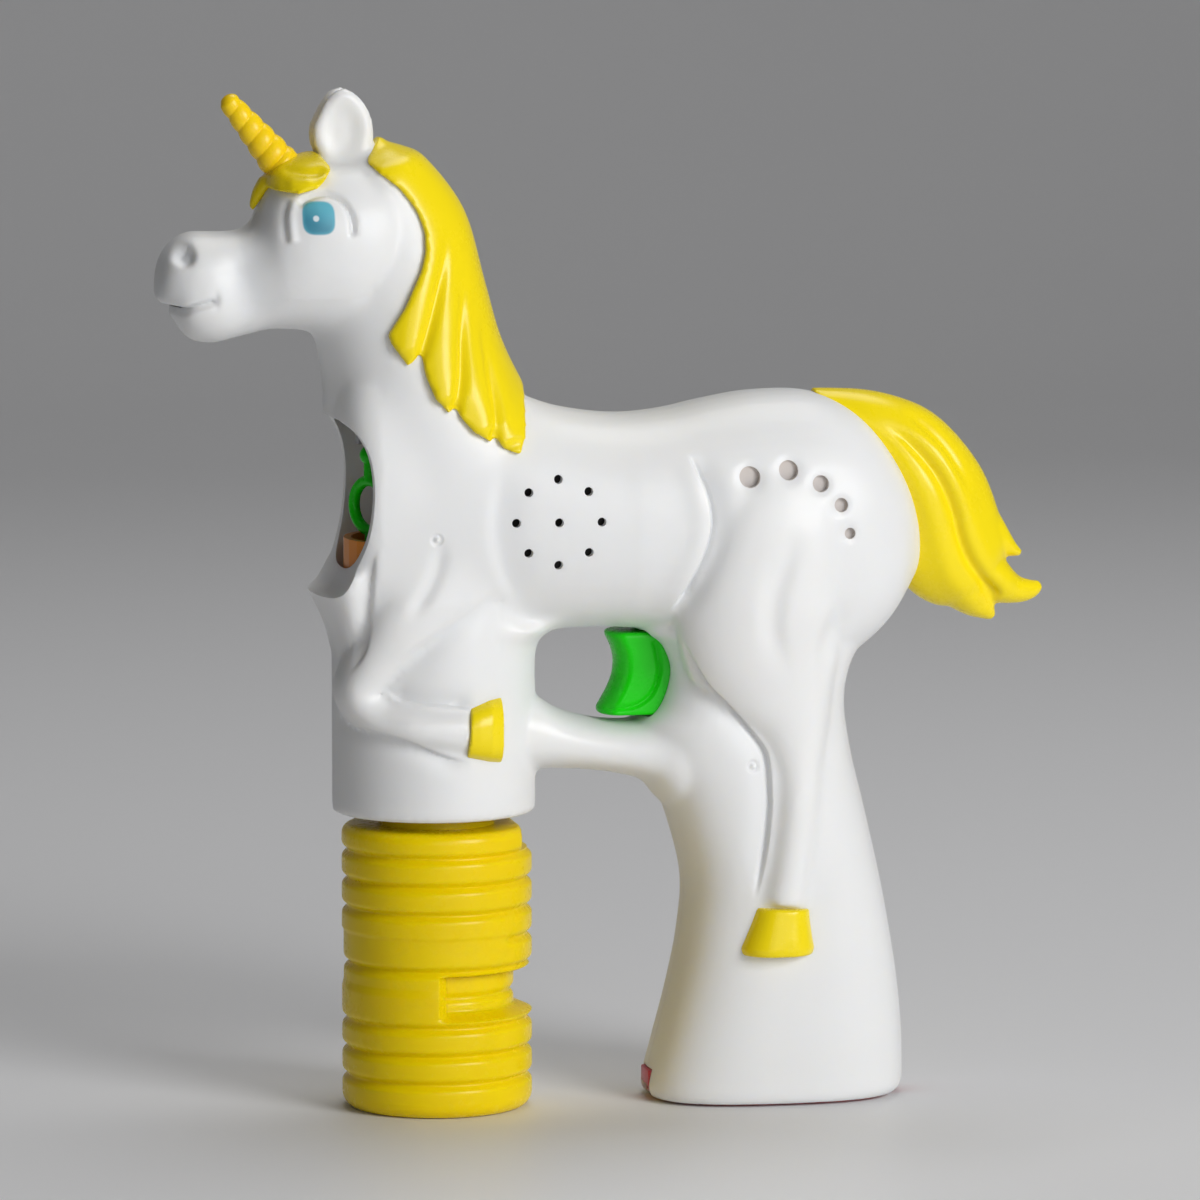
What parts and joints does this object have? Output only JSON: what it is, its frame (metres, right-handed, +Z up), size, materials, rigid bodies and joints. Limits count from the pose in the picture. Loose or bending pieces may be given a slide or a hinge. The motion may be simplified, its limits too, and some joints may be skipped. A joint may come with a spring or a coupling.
{
  "type": "toy bubble blower",
  "caption": "Toy bubble blower shaped as a unicorn: a pistol grip with a trigger, a bubble ring in the chest and a ribbed screw-on bottle under the front.",
  "frame": {"origin": "on the surface it stands on, under the middle of its box", "axes": "+Z up, the toy faces -X, its left flank is at -Y"},
  "size_m": [0.1849, 0.0506, 0.2092],
  "materials": {
    "white_plastic": "smooth semi-gloss",
    "yellow_plastic": "satin",
    "amber_plastic": "translucent",
    "bottle_yellow": "translucent",
    "green_plastic": "gloss",
    "orange_plastic": "satin",
    "red_plastic": "gloss",
    "grey_plastic": "matte",
    "black_plastic": "matte",
    "gear_plastic": "satin",
    "seal_rubber": "soft",
    "clear_hose": "clear",
    "steel": "plain",
    "cell_sleeve": "printed sleeve left plain",
    "board_green": "lacquer",
    "lamp_lens": "clear lens"
  },
  "bodies": {
    "casing": {"left_casing": "white_plastic", "right_casing": "white_plastic", "casing_screw_head": "steel", "casing_screw_chest": "steel", "casing_screw_bar": "steel", "casing_screw_rump": "steel", "casing_screw_grip_top": "steel", "casing_screw_grip_low": "steel", "mane": "yellow_plastic", "forelock": "yellow_plastic", "tail": "yellow_plastic", "hoof_front_left": "yellow_plastic", "hoof_front_right": "yellow_plastic", "hoof_hind_left": "yellow_plastic", "hoof_hind_right": "yellow_plastic", "horn": "amber_plastic", "horn_lamp": "lamp_lens", "bottle_socket": "grey_plastic", "bottle_seal": "seal_rubber", "suction_hose": "clear_hose", "feed_hose": "clear_hose", "drip_tray": "orange_plastic", "fan_housing": "grey_plastic", "motor": "steel", "pump_housing": "grey_plastic", "pump_axle": "steel", "trigger_spring": "steel", "trigger_switch": "black_plastic", "battery_cell_1": "cell_sleeve", "battery_cell_2": "cell_sleeve", "battery_cell_3": "cell_sleeve", "battery_spring_2": "steel", "upper_contact": "steel", "circuit_board": "board_green", "speaker": "black_plastic"},
    "bottle": {"bottle": "bottle_yellow"},
    "trigger": {"trigger": "green_plastic", "trigger_rod": "steel"},
    "ring": {"bubble_ring": "green_plastic"},
    "fan": {"fan": "black_plastic", "motor_shaft": "steel", "motor_pinion": "gear_plastic"},
    "pump": {"pump_rotor": "gear_plastic"},
    "door": {"battery_door": "red_plastic", "door_screw": "steel", "door_contact": "steel", "battery_spring_1": "steel", "battery_spring_3": "steel"}
  },
  "joints": [
    {"name": "trigger_pull", "type": "slide", "parent": "casing", "child": "trigger", "axis": [1, 0, 0], "range_m": [0, 0.004], "stiffness_N_per_m": 500, "springref_m": -0.004, "deforming": ["trigger_spring"]},
    {"name": "ring_turn", "type": "hinge", "parent": "casing", "child": "ring", "pos_m": [-0.0477, 0, 0.124], "axis": [0, 0, 1], "range_deg": [-39, 0]},
    {"name": "fan_spin", "type": "hinge", "parent": "casing", "child": "fan", "pos_m": [0, 0, 0.124], "axis": [1, 0, 0], "continuous": true},
    {"name": "pump_spin", "type": "hinge", "parent": "casing", "child": "pump", "pos_m": [0, 0, 0.112], "axis": [1, 0, 0], "continuous": true},
    {"name": "bottle_release", "type": "slide", "parent": "casing", "child": "bottle", "axis": [0, 0, -1], "range_m": [0, 0.075]},
    {"name": "door_release", "type": "slide", "parent": "casing", "child": "door", "axis": [0, 0, -1], "range_m": [0, 0.03]}
  ],
  "couplings": [
    {"joint": "ring_turn", "follows": "trigger_pull", "rad_per_m": -169.92},
    {"joint": "pump_spin", "follows": "fan_spin", "ratio": -0.33333}
  ]
}
